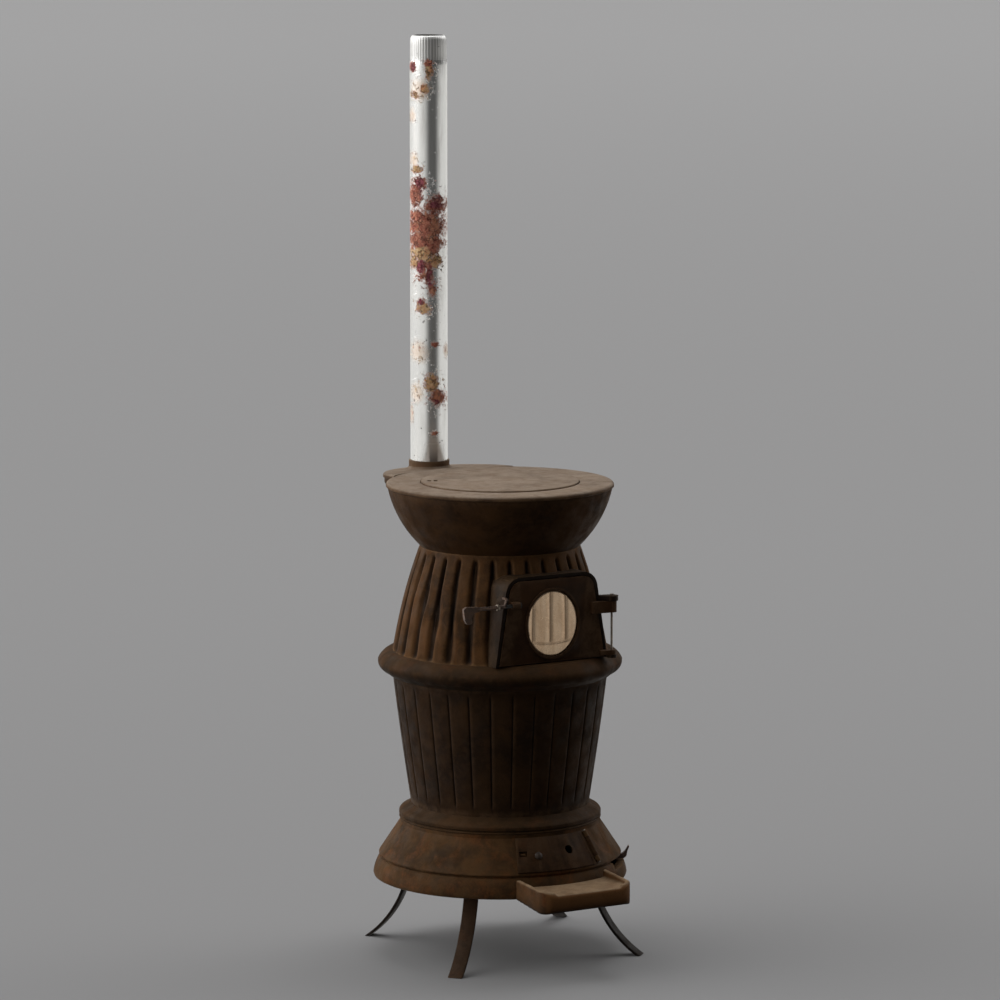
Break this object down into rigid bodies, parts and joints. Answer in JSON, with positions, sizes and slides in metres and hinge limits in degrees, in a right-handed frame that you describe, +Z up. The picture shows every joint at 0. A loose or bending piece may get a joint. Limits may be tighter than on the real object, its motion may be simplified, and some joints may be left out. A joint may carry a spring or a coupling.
{
  "type": "potbelly stove",
  "caption": "Cast-iron potbelly stove with a fluted barrel, mica feed door, ash door, hearth shelf, shaking grate, cook lid and an enamelled flue pipe.",
  "frame": {"origin": "on the floor directly below the stove's own vertical axis", "axes": "+Z up, doors and hearth shelf facing -Y, flue pipe behind the axis on +Y, +X to the right seen from the front"},
  "size_m": [0.5161, 0.6743, 1.831],
  "materials": {
    "iron_body": "dark rusty brown casting with a fine rough grain",
    "iron_dusty": "the same casting under a tan film of dust and light rust",
    "iron_legs": "dark rusty brown casting",
    "iron_sooty": "sooty rough casting",
    "forged_iron": "worn dark iron with light edges",
    "steel": "dull weathered steel",
    "mica": "aged buff mica sheet, cloudy and nearly opaque",
    "enamel": "glossy white enamel with patches of rust"
  },
  "bodies": {
    "stove": {"ash_base": "iron_body", "leg_front_left": "iron_legs", "leg_front_right": "iron_legs", "leg_rear_right": "iron_legs", "leg_rear_left": "iron_legs", "leg_bolts": "steel", "hearth_shelf": "iron_dusty", "shelf_bolts": "steel", "ash_hinge_pin": "steel", "grate_ring": "iron_dusty", "fire_pot": "iron_body", "belly_ring": "iron_dusty", "fluted_barrel": "iron_body", "door_frame": "iron_body", "feed_hinge_pin": "steel", "upper_bowl": "iron_body", "smoke_box": "iron_body", "top_plate": "iron_dusty", "flue_plate": "iron_dusty", "stove_pipe": "enamel"},
    "feed_door": {"feed_door": "iron_body", "mica_pane": "mica", "mica_retainer": "forged_iron", "retainer_screws": "steel"},
    "feed_latch": {"feed_latch": "forged_iron", "latch_collar": "steel"},
    "ash_door": {"ash_door": "iron_body"},
    "ash_latch": {"ash_latch": "forged_iron"},
    "shaking_grate": {"grate": "iron_sooty", "shaker_lever": "forged_iron", "shaker_rivets": "steel"},
    "cook_lid": {"cook_lid": "iron_dusty"}
  },
  "joints": [
    {"name": "feed_door_hinge", "type": "hinge", "parent": "stove", "child": "feed_door", "pos_m": [0.134, -0.209, 0.69], "axis": [0, 0, 1], "range_deg": [0, 110]},
    {"name": "feed_latch_turn", "type": "hinge", "parent": "feed_door", "child": "feed_latch", "pos_m": [-0.09, -0.209, 0.735], "axis": [-1, 0, 0], "range_deg": [0, 90]},
    {"name": "ash_door_hinge", "type": "hinge", "parent": "stove", "child": "ash_door", "pos_m": [0.08713, -0.21034, 0.23334], "axis": [-0.2111, 0.5097, 0.834], "range_deg": [0, 100]},
    {"name": "ash_latch_turn", "type": "hinge", "parent": "ash_door", "child": "ash_latch", "pos_m": [-0.0465, -0.22456, 0.22976], "axis": [0.1691, 0.8167, -0.5517], "range_deg": [0, 90]},
    {"name": "grate_shake", "type": "hinge", "parent": "stove", "child": "shaking_grate", "pos_m": [0, 0, 0.288], "axis": [0, 0, 1], "range_deg": [-20, 20]},
    {"name": "lid_lift", "type": "slide", "parent": "stove", "child": "cook_lid", "axis": [0, 0, 1], "range_m": [0, 0.12]}
  ]
}
